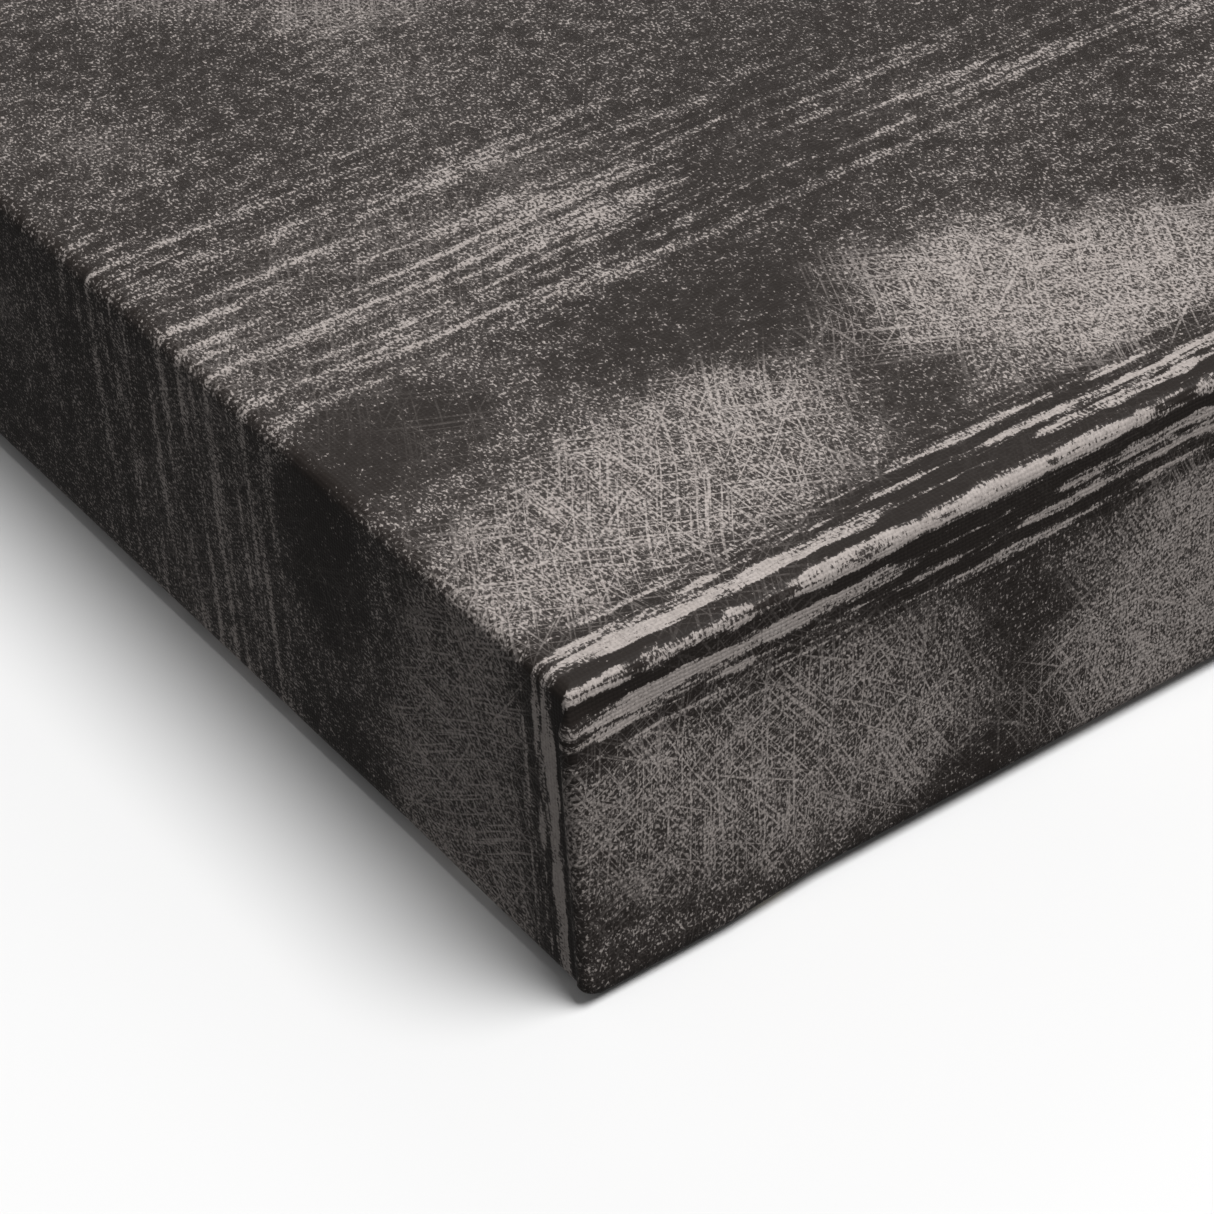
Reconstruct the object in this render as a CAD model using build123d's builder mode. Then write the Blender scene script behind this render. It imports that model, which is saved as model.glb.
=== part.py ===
"""A stretched artist's canvas: cloth wrapped round a keyed wooden frame, with hangers on its inner faces.

Millimetres. The canvas lies face up: X across the picture, Y up the picture, Z out of the printed face.
The origin is at the centre of the footprint, on the surface that the folded corners rest on.
"""

import os
from math import atan2, degrees, hypot

from build123d import *

# ---- driving dimensions ----
WIDTH = 300.0  # across the picture
HEIGHT = 400.0  # up the picture
DEPTH = 38.0  # gallery depth, from the folded corners' back to the printed face

# the cloth
CLOTH = 0.45  # one layer, primed
HEM_REACH = 24.0  # how far the cloth turns in over the back of the bars
FOLD_LAYERS = 2  # extra layers that a folded corner has under the hem
CORNER_R = 2.0  # upright edges of the wooden frame
FRONT_EDGE_R = 1.5  # its edges round the picture
BACK_EDGE_R = 1.5  # its edges round the back

# the bars
BAR_WIDTH = 36.0  # in the plane of the frame
BEAD_WIDTH = 6.0  # flat top of the raised bead that carries the cloth
BEVEL_WIDTH = 3.0  # the steep side of the bead
BEAD_HEIGHT = 2.5  # bead above the foot of its bevel
INNER_DROP = 4.0  # the front face at the bar's inner edge, below the bead's top
INNER_EDGE_R = 1.5

# the corner joints, measured from the bar's back and from its outer face
LOWER_LAYER = (9.0, 14.0)
UPPER_LAYER = (14.0, 19.0)
SIDE_WALL = 3.0  # wood left between a tongue and the outer face of the bar that holds it
TONGUE_SHOULDER = 6.0  # where a tongue starts along the mitre
TONGUE_PLAY = 0.05  # above and below a tongue
SLOT_PLAY = 0.5  # round a tongue's edges

# the wedges that spread the corners
KEY_TIP = 8.0  # a seated key's tip, from the bar's outer face
KEY_TAIL = 14.0  # how far it stands out past the bar's inner face
KEY_TIP_WIDTH = 4.0
KEY_TAPER = 5.4 / 28.0  # widening for each millimetre of length
KEY_THICKNESS = 4.6
KEY_PLAY = 0.1
KEY_TAIL_R = 1.2

# staples
STAPLE_CROWN = 12.0
STAPLE_LEG = 8.0
STAPLE_WIRE_WIDTH = 0.9
STAPLE_WIRE_THICKNESS = 0.55
STAPLE_POINT = 1.2  # length of the chisel point
STAPLE_INSET = 14.0  # from the bar's outer face
STAPLE_END_GAP = 42.0  # from the frame's corner to the first staple of a row
STAPLE_PITCH = 45.0
CORNER_STAPLE = (16.0, 8.5)  # along the bar and in from its outer face, through the folded corner

# hangers
HANGER_Y = 80.0  # hinge line above the middle of the picture
HANGER_DEPTH = 14.0  # middle of the hanger above the back
RING_WIRE_R = 1.25
RING_HALF_WIDTH = 7.75  # to the middle of the wire
RING_REACH = 15.0  # hinge line to the middle of the arch
RING_CORNER_R = 2.5
BARREL_PLAY = 0.08
STRAP_THICKNESS = 0.9
STRAP_WIDTH = 10.0
STRAP_LENGTH = 13.0
STRAP_END_R = 3.5
SCREW_FROM_HINGE = 8.0
SCREW_HOLE_R = 1.85
SCREW_SHANK_R = 1.7
SCREW_LENGTH = 13.0
SCREW_POINT = 4.0
SCREW_HEAD_R = 3.2
SCREW_HEAD_HEIGHT = 2.0
SCREW_RECESS_LENGTH = 3.2
SCREW_RECESS_WIDTH = 0.8
SCREW_RECESS_DEPTH = 1.1

# ---- worked out from them ----
HEM_BACK = FOLD_LAYERS * CLOTH
BAR_BACK = HEM_BACK + CLOTH
BAR_DEPTH = DEPTH - CLOTH - BAR_BACK
FRAME_WIDTH = WIDTH - 2.0 * CLOTH
FRAME_HEIGHT = HEIGHT - 2.0 * CLOTH
BARREL_IN_R = RING_WIRE_R + BARREL_PLAY
BARREL_OUT_R = BARREL_IN_R + STRAP_THICKNESS

# each side of the frame: its name, how far it is turned, its length, and the sides at its two ends
SIDES = (
    ("bottom", 0.0, FRAME_WIDTH, ("left", "right")),
    ("right", 90.0, FRAME_HEIGHT, ("bottom", "top")),
    ("top", 180.0, FRAME_WIDTH, ("right", "left")),
    ("left", 270.0, FRAME_HEIGHT, ("top", "bottom")),
)
START_CORNERS = {
    "bottom": (-FRAME_WIDTH / 2.0, -FRAME_HEIGHT / 2.0),
    "right": (FRAME_WIDTH / 2.0, -FRAME_HEIGHT / 2.0),
    "top": (FRAME_WIDTH / 2.0, FRAME_HEIGHT / 2.0),
    "left": (-FRAME_WIDTH / 2.0, FRAME_HEIGHT / 2.0),
}


def side_place(side, turn):
    """Where a side's own frame lies: X along the bar's outer face, Y inwards, Z from its back."""
    corner_x, corner_y = START_CORNERS[side]
    return Location((corner_x, corner_y, BAR_BACK), (0.0, 0.0, turn))


def save(part, name):
    """Label a finished piece and write it to its own file."""
    part.label = name
    export_step(part, f"parts/{name}.step")


def at_end(points, length, end):
    """Plan points given for a bar's start, or mirrored to its far end."""
    if end == 0:
        return points
    return [(length - x, y) for x, y in points]


def make_bar(length):
    """One mitred bar, with a tongue and a slot in different layers at each end."""
    tongue = [
        (SIDE_WALL, TONGUE_SHOULDER),
        (TONGUE_SHOULDER + 2.0, TONGUE_SHOULDER),
        (BAR_WIDTH, BAR_WIDTH - 2.0),
        (BAR_WIDTH, BAR_WIDTH),
        (SIDE_WALL, BAR_WIDTH),
    ]
    slot_floor = SIDE_WALL - SLOT_PLAY
    slot_far_x = BAR_WIDTH + KEY_TIP_WIDTH
    slot_mouth_x = slot_far_x + KEY_TAPER * (BAR_WIDTH + 1.0 - KEY_TIP)
    slot = [
        (TONGUE_SHOULDER - SLOT_PLAY, slot_floor),
        (slot_far_x, slot_floor),
        (slot_far_x, KEY_TIP),
        (slot_mouth_x, BAR_WIDTH + 1.0),
        (TONGUE_SHOULDER - SLOT_PLAY, BAR_WIDTH + 1.0),
    ]
    mitred_plan = [(0.0, 0.0), (length, 0.0), (length - BAR_WIDTH, BAR_WIDTH), (BAR_WIDTH, BAR_WIDTH)]
    with BuildPart() as bar:
        # a block with the rounded outside of the whole frame
        with BuildSketch():
            with Locations((length / 2.0, 2.0 * BAR_WIDTH)):
                RectangleRounded(length, 4.0 * BAR_WIDTH, CORNER_R)
        extrude(amount=BAR_DEPTH)
        fillet(bar.edges().group_by(Axis.Z)[-1], FRONT_EDGE_R)
        fillet(bar.edges().group_by(Axis.Z)[0], BACK_EDGE_R)
        # the bar's section: a bead at the outer edge, and a front that falls away from the cloth
        with BuildSketch(Plane.YZ) as section:
            Polygon(
                (0.0, 0.0),
                (BAR_WIDTH, 0.0),
                (BAR_WIDTH, BAR_DEPTH - INNER_DROP),
                (BEAD_WIDTH + BEVEL_WIDTH, BAR_DEPTH - BEAD_HEIGHT),
                (BEAD_WIDTH, BAR_DEPTH),
                (0.0, BAR_DEPTH),
                align=None,
            )
            fillet(section.vertices().group_by(Axis.X)[-1], INNER_EDGE_R)
        extrude(amount=length, mode=Mode.INTERSECT)
        # mitres at both ends
        with BuildSketch():
            Polygon(*mitred_plan, align=None)
        extrude(amount=BAR_DEPTH, mode=Mode.INTERSECT)
        for end, (tongue_layer, slot_layer) in enumerate(
            ((UPPER_LAYER, LOWER_LAYER), (LOWER_LAYER, UPPER_LAYER))
        ):
            with BuildSketch(Plane.XY.offset(slot_layer[0])):
                Polygon(*at_end(slot, length, end), align=None)
            extrude(amount=slot_layer[1] - slot_layer[0], mode=Mode.SUBTRACT)
            with BuildSketch(Plane.XY.offset(tongue_layer[0] + TONGUE_PLAY)):
                Polygon(*at_end(tongue, length, end), align=None)
            extrude(amount=tongue_layer[1] - tongue_layer[0] - 2.0 * TONGUE_PLAY)
    return bar.part


def make_key(length, end):
    """A wedge in a bar's slot, its straight edge along the next bar's tongue and inner face."""
    straight_x = BAR_WIDTH + KEY_PLAY
    tip_x = BAR_WIDTH + KEY_TIP_WIDTH - KEY_PLAY
    tail_y = BAR_WIDTH + KEY_TAIL
    tail_x = tip_x + KEY_TAPER * (tail_y - KEY_TIP)
    layer = (LOWER_LAYER, UPPER_LAYER)[end]
    bottom = (layer[0] + layer[1] - KEY_THICKNESS) / 2.0
    outline = [(straight_x, KEY_TIP), (tip_x, KEY_TIP), (tail_x, tail_y), (straight_x, tail_y)]
    with BuildPart() as key:
        with BuildSketch(Plane.XY.offset(bottom)) as plan:
            Polygon(*at_end(outline, length, end), align=None)
            fillet(plan.vertices().group_by(Axis.Y)[-1], KEY_TAIL_R)
        extrude(amount=KEY_THICKNESS)
    return key.part


def make_staple():
    """A staple with the outside of its crown at Z 0 and its legs pointing up."""
    half = STAPLE_CROWN / 2.0
    inner = half - STAPLE_WIRE_THICKNESS
    shoulder = STAPLE_LEG - STAPLE_POINT
    with BuildPart() as staple:
        with BuildSketch(Plane.XZ.offset(-STAPLE_WIRE_WIDTH / 2.0)):
            Polygon(
                (-half, 0.0),
                (half, 0.0),
                (half, STAPLE_LEG),
                (inner, shoulder),
                (inner, STAPLE_WIRE_THICKNESS),
                (-inner, STAPLE_WIRE_THICKNESS),
                (-inner, shoulder),
                (-half, STAPLE_LEG),
                align=None,
            )
        extrude(amount=STAPLE_WIRE_WIDTH)
        outer_bends = staple.edges().filter_by(Axis.Y).group_by(Axis.Z)[0]
        fillet(outer_bends, STAPLE_WIRE_THICKNESS * 0.8)
    return staple.part


def make_staple_row(length, staple):
    """A bar's staples: an even row through the hem, and one through the folded corner at each end."""
    on_hem = HEM_BACK - STAPLE_WIRE_THICKNESS - BAR_BACK
    on_fold = -BAR_BACK
    span = length - 2.0 * STAPLE_END_GAP
    gaps = round(span / STAPLE_PITCH)
    row = [(STAPLE_END_GAP + span * i / gaps, STAPLE_INSET, on_hem) for i in range(gaps + 1)]
    corner_x, corner_y = CORNER_STAPLE
    row += [(corner_x, corner_y, on_fold), (length - corner_x, corner_y, on_fold)]
    with BuildPart() as staples:
        with Locations(*row):
            add(staple)
    return staples.part


def make_canvas():
    """The cloth as one thin shell: face, four sides, hems turned in at the back, and folded corners."""
    outer_r = CORNER_R + CLOTH
    fold_zone = HEM_BACK + outer_r + 2.0
    with BuildPart() as folds:
        with BuildSketch():
            RectangleRounded(WIDTH, HEIGHT, outer_r)
        extrude(amount=fold_zone)
        fillet(folds.edges().group_by(Axis.Z)[0], BACK_EDGE_R + CLOTH)
        with BuildSketch():
            with GridLocations(WIDTH - HEM_REACH, HEIGHT - HEM_REACH, 2, 2):
                Rectangle(HEM_REACH, HEM_REACH)
        extrude(amount=fold_zone, mode=Mode.INTERSECT)
    with BuildPart() as hollow:
        with BuildSketch(Plane.XY.offset(BAR_BACK)):
            RectangleRounded(FRAME_WIDTH, FRAME_HEIGHT, CORNER_R)
        extrude(amount=BAR_DEPTH)
        fillet(hollow.edges().group_by(Axis.Z)[-1], FRONT_EDGE_R)
        fillet(hollow.edges().group_by(Axis.Z)[0], BACK_EDGE_R)
    with BuildPart() as canvas:
        with BuildSketch(Plane.XY.offset(HEM_BACK)):
            RectangleRounded(WIDTH, HEIGHT, outer_r)
        extrude(amount=DEPTH - HEM_BACK)
        fillet(canvas.edges().group_by(Axis.Z)[-1], FRONT_EDGE_R + CLOTH)
        fillet(canvas.edges().group_by(Axis.Z)[0], BACK_EDGE_R + CLOTH)
        add(folds.part)
        add(hollow.part, mode=Mode.SUBTRACT)
        with BuildSketch():
            Rectangle(WIDTH - 2.0 * HEM_REACH, HEIGHT - 2.0 * HEM_REACH)
        extrude(amount=BAR_BACK + 1.0, mode=Mode.SUBTRACT)
    return canvas.part


def make_ring():
    """A D-shaped wire ring: hinge line along Z at the origin, arch towards +X, wire middle at Y 0."""
    arch_x = RING_REACH - RING_HALF_WIDTH
    bend = RING_CORNER_R
    width = RING_HALF_WIDTH
    with BuildPart() as ring:
        with BuildLine(Plane.XZ):
            Line((0.0, bend - width), (0.0, width - bend))
            RadiusArc((0.0, width - bend), (bend, width), bend)
            Line((bend, width), (arch_x, width))
            ThreePointArc((arch_x, width), (RING_REACH, 0.0), (arch_x, -width))
            Line((arch_x, -width), (bend, -width))
            RadiusArc((bend, -width), (0.0, bend - width), bend)
        with BuildSketch():
            Circle(RING_WIRE_R)
        sweep(transition=Transition.ROUND)
    return ring.part


def make_strap():
    """A folded metal strap: a barrel round the ring's straight side, and a plate with a screw hole."""
    plate_top = STRAP_THICKNESS - BARREL_OUT_R
    with BuildPart() as strap:
        with BuildSketch(Plane.XY.offset(-STRAP_WIDTH / 2.0)):
            Circle(BARREL_OUT_R)
            with Locations((0.0, -BARREL_OUT_R)):
                Rectangle(STRAP_LENGTH, STRAP_THICKNESS, align=(Align.MAX, Align.MIN))
            Circle(BARREL_IN_R, mode=Mode.SUBTRACT)
        extrude(amount=STRAP_WIDTH)
        plate_corners = strap.edges().filter_by(Axis.Y).group_by(Axis.X)[0]
        fillet(plate_corners, STRAP_END_R)
        with Locations(Location((-SCREW_FROM_HINGE, plate_top, 0.0), (-90.0, 0.0, 0.0))):
            Hole(SCREW_HOLE_R, depth=STRAP_THICKNESS)
    return strap.part


def make_screw():
    """A pan-head wood screw through the strap: its head on the plate, its point towards -Y."""
    head_seat = STRAP_THICKNESS - BARREL_OUT_R
    head_top = head_seat + SCREW_HEAD_HEIGHT
    tip = head_seat - SCREW_LENGTH
    axis_x = -SCREW_FROM_HINGE
    with BuildPart() as screw:
        with BuildSketch():
            with BuildLine():
                Line((axis_x, tip), (axis_x + SCREW_SHANK_R, tip + SCREW_POINT))
                Line((axis_x + SCREW_SHANK_R, tip + SCREW_POINT), (axis_x + SCREW_SHANK_R, head_seat))
                Line((axis_x + SCREW_SHANK_R, head_seat), (axis_x + SCREW_HEAD_R, head_seat))
                Line((axis_x + SCREW_HEAD_R, head_seat), (axis_x + SCREW_HEAD_R, head_seat + 0.7))
                ThreePointArc(
                    (axis_x + SCREW_HEAD_R, head_seat + 0.7),
                    (axis_x + SCREW_HEAD_R * 0.72, head_top - 0.25),
                    (axis_x, head_top),
                )
                Line((axis_x, head_top), (axis_x, tip))
            make_face()
        revolve(axis=Axis((axis_x, 0.0, 0.0), (0.0, 1.0, 0.0)))
        # a cross recess
        with BuildSketch(Plane.XZ.offset(SCREW_RECESS_DEPTH - head_top)):
            with Locations((axis_x, 0.0)):
                Rectangle(SCREW_RECESS_LENGTH, SCREW_RECESS_WIDTH)
                Rectangle(SCREW_RECESS_WIDTH, SCREW_RECESS_LENGTH)
        extrude(amount=-2.0 * SCREW_RECESS_DEPTH, mode=Mode.SUBTRACT)
    return screw.part


def hanger_place(side):
    """Where a hanger's own frame lies: X up the picture, Y away from the inner face of the bar."""
    face_x = FRAME_WIDTH / 2.0 - BAR_WIDTH
    if side == "left":
        return Plane((-face_x + BARREL_OUT_R, HANGER_Y, HANGER_DEPTH), (0, 1, 0), (0, 0, -1)).location
    return Plane((face_x - BARREL_OUT_R, HANGER_Y, HANGER_DEPTH), (0, 1, 0), (0, 0, 1)).location


def write_piece(template, place, name):
    """Put one template in its place and write it."""
    with BuildPart() as piece:
        with Locations(place):
            add(template)
    save(piece.part, name)


os.makedirs("parts", exist_ok=True)

save(make_canvas(), "canvas")

staple_template = make_staple()
for side, turn, length, end_sides in SIDES:
    place = side_place(side, turn)
    write_piece(make_bar(length), place, f"bar_{side}")
    write_piece(make_staple_row(length, staple_template), place, f"staples_{side}")
    for end, end_side in enumerate(end_sides):
        write_piece(make_key(length, end), place, f"key_{side}_bar_{end_side}")

hanger_templates = {"ring": make_ring(), "strap": make_strap(), "screw": make_screw()}
for side in ("left", "right"):
    for piece_name, template in hanger_templates.items():
        write_piece(template, hanger_place(side), f"{piece_name}_{side}")

key_length = BAR_WIDTH + KEY_TAIL - KEY_TIP
print("bars", FRAME_WIDTH, FRAME_HEIGHT, "depth", BAR_DEPTH)
print("key length", key_length, "taper", round(degrees(atan2(KEY_TAPER, 1.0)), 1), "degrees")
print("frame diagonal", round(hypot(FRAME_WIDTH, FRAME_HEIGHT), 1))
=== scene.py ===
"""Looks for a stretched canvas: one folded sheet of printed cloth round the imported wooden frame.

Everything is in metres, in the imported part's own frame: X across the picture, Y up it, Z out of its
face.
The cloth is built from its flat pattern, so that its weave and its mirrored print follow the folds.
"""

import math

import bmesh
import bpy
import numpy as np
from mathutils import Matrix, Vector, noise


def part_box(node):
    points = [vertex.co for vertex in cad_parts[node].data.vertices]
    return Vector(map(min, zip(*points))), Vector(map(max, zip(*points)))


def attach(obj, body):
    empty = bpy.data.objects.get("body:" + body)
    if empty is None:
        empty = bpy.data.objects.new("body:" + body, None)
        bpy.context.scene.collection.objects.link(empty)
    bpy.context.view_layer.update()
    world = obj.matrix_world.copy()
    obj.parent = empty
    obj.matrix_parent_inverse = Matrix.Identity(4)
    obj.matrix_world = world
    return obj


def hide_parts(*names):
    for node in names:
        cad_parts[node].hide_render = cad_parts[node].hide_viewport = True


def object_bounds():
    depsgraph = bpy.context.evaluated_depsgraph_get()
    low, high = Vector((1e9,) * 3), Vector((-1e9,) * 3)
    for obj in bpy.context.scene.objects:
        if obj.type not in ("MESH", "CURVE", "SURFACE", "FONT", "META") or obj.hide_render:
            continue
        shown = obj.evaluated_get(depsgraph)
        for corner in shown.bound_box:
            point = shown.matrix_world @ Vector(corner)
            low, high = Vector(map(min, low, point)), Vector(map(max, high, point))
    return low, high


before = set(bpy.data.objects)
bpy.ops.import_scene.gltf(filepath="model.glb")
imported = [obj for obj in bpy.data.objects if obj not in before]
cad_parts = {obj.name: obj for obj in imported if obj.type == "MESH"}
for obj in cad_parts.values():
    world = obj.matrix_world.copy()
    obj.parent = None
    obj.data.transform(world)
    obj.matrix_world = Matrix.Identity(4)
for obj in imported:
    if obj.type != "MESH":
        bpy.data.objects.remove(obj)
cad_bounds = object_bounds()

MM = 0.001
HALF_WIDTH = cad_bounds[1].x
HALF_HEIGHT = cad_bounds[1].y
TOP_Z = cad_bounds[1].z
BAR_BACK_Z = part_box("bar_bottom")[0].z

# the cloth, measured along the middle of its thickness
CLOTH = 0.30 * MM
FRONT_BEND = 1.4 * MM
BACK_BEND = 1.5 * MM
UPRIGHT_BEND = 0.18 * MM
HEM = 24.0 * MM
RAGGED_EDGE = 0.5 * MM
RIPPLE = 0.12 * MM
RIPPLES_PER_METRE = 38.0

# the corner fold: the pleat starts just under the front bend and runs in further the lower it is
FOLD_START = 2.3 * MM
PLEAT_SLOPE = 0.92
PLEAT_REACH = 22.0 * MM
LAYER_STEP = 0.305 * MM
LAYER_GROW = 3.0 * MM
FOLD_PAST_CORNER = 0.30 * MM
BULGE_FADE = 5.0 * MM

# under the back: where the folded flap starts, and how far the cloth next to it sinks
HEM_START = 1.9 * MM
FLAP_INSET = 1.6 * MM
CORNER_DIP = 0.25 * MM
CORNER_DIP_REACH = 34.0 * MM
CORNER_DIP_HEIGHT = 9.0 * MM


# ---------------------------------------------------------------- shader helpers


class Graph:
    """A material's node tree, with short calls for what the materials below use again and again."""

    def __init__(self, name):
        self.material = bpy.data.materials.new(name)
        self.material.use_nodes = True
        self.tree = self.material.node_tree
        self.tree.nodes.clear()
        self.output = self.tree.nodes.new("ShaderNodeOutputMaterial")
        self.shader = self.tree.nodes.new("ShaderNodeBsdfPrincipled")
        self.tree.links.new(self.shader.outputs["BSDF"], self.output.inputs["Surface"])

    def plug(self, socket, value):
        if isinstance(value, bpy.types.NodeSocket):
            self.tree.links.new(value, socket)
        else:
            socket.default_value = value

    def set(self, name, value):
        self.plug(self.shader.inputs[name], value)

    def math(self, operation, *values, clamp=False):
        node = self.tree.nodes.new("ShaderNodeMath")
        node.operation = operation
        node.use_clamp = clamp
        for socket, value in zip(node.inputs, values, strict=False):
            self.plug(socket, value)
        return node.outputs[0]

    def add(self, first, second):
        return self.math("ADD", first, second)

    def less(self, first, second):
        return self.math("SUBTRACT", first, second)

    def times(self, first, second, clamp=False):
        return self.math("MULTIPLY", first, second, clamp=clamp)

    def times_add(self, value, factor, offset):
        """value * factor + offset."""
        return self.math("MULTIPLY_ADD", value, factor, offset)

    def step(self, value, low, high):
        """0 below low and 1 above high, smooth between them."""
        node = self.tree.nodes.new("ShaderNodeMapRange")
        node.interpolation_type = "SMOOTHSTEP"
        self.plug(node.inputs["Value"], value)
        self.plug(node.inputs["From Min"], low)
        self.plug(node.inputs["From Max"], high)
        return node.outputs["Result"]

    def point(self, x, y, z=0.0):
        node = self.tree.nodes.new("ShaderNodeCombineXYZ")
        for socket, value in zip(node.inputs, (x, y, z), strict=True):
            self.plug(socket, value)
        return node.outputs[0]

    def split(self, vector):
        node = self.tree.nodes.new("ShaderNodeSeparateXYZ")
        self.plug(node.inputs[0], vector)
        return node.outputs

    def noise(self, vector, scale=1.0, detail=2.0, roughness=0.5, distortion=0.0):
        node = self.tree.nodes.new("ShaderNodeTexNoise")
        self.plug(node.inputs["Vector"], vector)
        node.inputs["Scale"].default_value = scale
        node.inputs["Detail"].default_value = detail
        node.inputs["Roughness"].default_value = roughness
        node.inputs["Distortion"].default_value = distortion
        return node.outputs["Fac"]

    def mix(self, share, first, second):
        node = self.tree.nodes.new("ShaderNodeMix")
        node.data_type = "RGBA"
        self.plug(node.inputs[0], share)
        self.plug(node.inputs[6], first)
        self.plug(node.inputs[7], second)
        return node.outputs[2]

    def bump(self, height, distance, strength=1.0):
        node = self.tree.nodes.new("ShaderNodeBump")
        node.inputs["Strength"].default_value = strength
        node.inputs["Distance"].default_value = distance
        self.plug(node.inputs["Height"], height)
        return node.outputs["Normal"]

    def place(self):
        """A point's place on the piece, in millimetres."""
        node = self.tree.nodes.new("ShaderNodeTexCoord")
        scaled = self.tree.nodes.new("ShaderNodeVectorMath")
        scaled.operation = "SCALE"
        scaled.inputs["Scale"].default_value = 1.0 / MM
        self.plug(scaled.inputs[0], node.outputs["Object"])
        return scaled.outputs[0]

    def flat_place(self):
        """A point's place on the flat cloth, in millimetres from the middle of the picture."""
        node = self.tree.nodes.new("ShaderNodeUVMap")
        node.uv_map = "flat"
        u, v, _ = self.split(node.outputs["UV"])
        return self.math("MULTIPLY", u, 1.0 / MM), self.math("MULTIPLY", v, 1.0 / MM)


def colour(red, green, blue):
    return (red, green, blue, 1.0)


THREAD_PITCH = 0.46  # millimetres
WEAVE_DRIFT_RATE = 0.35


def weave(graph, u, v, wobble=0.12):
    """Height of a plain weave, 0 to 1, from the place on the flat cloth in millimetres."""
    drift_u = graph.noise(graph.point(u, v), WEAVE_DRIFT_RATE, 2.0)
    drift_v = graph.noise(graph.point(v, u, 7.0), WEAVE_DRIFT_RATE, 2.0)
    a = graph.add(graph.math("DIVIDE", u, THREAD_PITCH), graph.times(drift_u, wobble * 8.0))
    b = graph.add(graph.math("DIVIDE", v, THREAD_PITCH), graph.times(drift_v, wobble * 8.0))
    across_a = graph.math("ABSOLUTE", graph.math("SINE", graph.times(a, math.pi)))
    across_b = graph.math("ABSOLUTE", graph.math("SINE", graph.times(b, math.pi)))
    parity = graph.add(graph.math("FLOOR", a), graph.math("FLOOR", b))
    odd = graph.math("PINGPONG", parity, 1.0)
    even = graph.less(1.0, odd)
    over_warp = graph.times_add(graph.times(odd, across_b), 0.6, 0.4)
    warp = graph.times(across_a, over_warp)
    over_weft = graph.times_add(graph.times(even, across_a), 0.6, 0.4)
    weft = graph.times(across_b, over_weft)
    return graph.math("MAXIMUM", warp, weft)


# ---------------------------------------------------------------- the print

INK_DARK = colour(0.0235, 0.0190, 0.0168)
INK_LIGHT = colour(0.480, 0.434, 0.410)
INK_GREY = colour(0.100, 0.088, 0.083)
INK_WARM = colour(0.34, 0.27, 0.23)
# painted shade for the hollows between the threads
PAINTED_THREAD_SHADE = colour(0.010, 0.008, 0.007)
PRIMER = colour(0.78, 0.76, 0.72)
PRINT_BLEED = 14.0  # millimetres of print past the back edge
PRINT_SHINE = 0.10

# Tonal patches near the lower left corner of the abstract picture, in millimetres from that corner:
# middle, half-sizes, turn in degrees, how much lighter or darker than the ground, how much hatching
PATCHES = (
    (22.0, 17.0, 24.0, 12.0, 12.0, 0.18, 1.0),
    (8.0, 42.0, 13.0, 7.0, 15.0, -0.26, 0.0),
    (46.0, 37.0, 17.0, 9.0, -20.0, -0.14, 0.0),
    (54.0, 19.0, 6.0, 9.0, -12.0, -0.10, 0.0),
    (76.0, 21.0, 22.0, 13.0, -25.0, 0.30, 1.0),
    (22.0, 66.0, 30.0, 12.0, 8.0, 0.06, 0.2),
    (74.0, 62.0, 24.0, 15.0, 30.0, -0.08, 0.0),
)

# scratched hatching: direction in degrees, strokes per millimetre across and along, share of ink lifted
STROKES = (
    (62.0, 2.9, 0.060, 0.27),
    (-28.0, 2.7, 0.060, 0.25),
    (97.0, 3.0, 0.070, 0.22),
    (36.0, 2.6, 0.060, 0.14),
)

# pale bands along the lower edge, in millimetres from it: middle, half-width, place in the noise
EDGE_BANDS = (
    (0.2, 0.60, 3.0),
    (3.2, 0.75, 11.0),
    (5.4, 0.45, 19.0),
    (7.6, 0.35, 27.0),
    (9.8, 0.30, 35.0),
)
EDGE_RANGE = (12.0, 5.0)
SOLID_TONE = -0.30
BAND_LIFT = 0.85
BROAD_BRUSH = 2.4
FINE_BRUSH = 2.2

BASE_TONE = 0.20
MOTTLE = 1.1
FAR_FROM_CORNER = (90.0, 130.0)
STREAK_LIFT = 0.42
STREAK_DARKEN = -0.06


def mirrored(graph, value, half):
    """The picture's place for a place on the flat cloth: the print is mirrored past the edges."""
    away = graph.math("ABSOLUTE", value)
    past = graph.math("ABSOLUTE", graph.less(away, half))
    return graph.times(graph.math("SIGN", value), graph.less(half, past))


def turned(graph, x, y, degrees):
    """A place along and across a direction."""
    c, s = math.cos(math.radians(degrees)), math.sin(math.radians(degrees))
    along = graph.add(graph.times(x, c), graph.times(y, s))
    across = graph.add(graph.times(x, -s), graph.times(y, c))
    return along, across


def patch(graph, x, y, middle_x, middle_y, half_x, half_y, turn):
    """1 in the middle of a soft ellipse and 0 outside it."""
    dx = graph.less(x, middle_x)
    dy = graph.less(y, middle_y)
    along, across = turned(graph, dx, dy, turn)
    along = graph.math("DIVIDE", along, half_x)
    across = graph.math("DIVIDE", across, half_y)
    squared = graph.add(graph.times(along, along), graph.times(across, across))
    return graph.step(squared, 1.9, 0.3)


def wander(graph, x, y, scale, reach, place, detail=3.0):
    """A soft random push, in millimetres either way."""
    field = graph.noise(graph.point(x, y, place), scale, detail, 0.6)
    return graph.times(graph.less(field, 0.5), 2.0 * reach)


def stretched_noise(graph, x, y, per_x, per_y, place, detail=2.0):
    spot = graph.point(graph.times(x, per_x), graph.times(y, per_y), place)
    return graph.noise(spot, 1.0, detail, 0.55)


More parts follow.
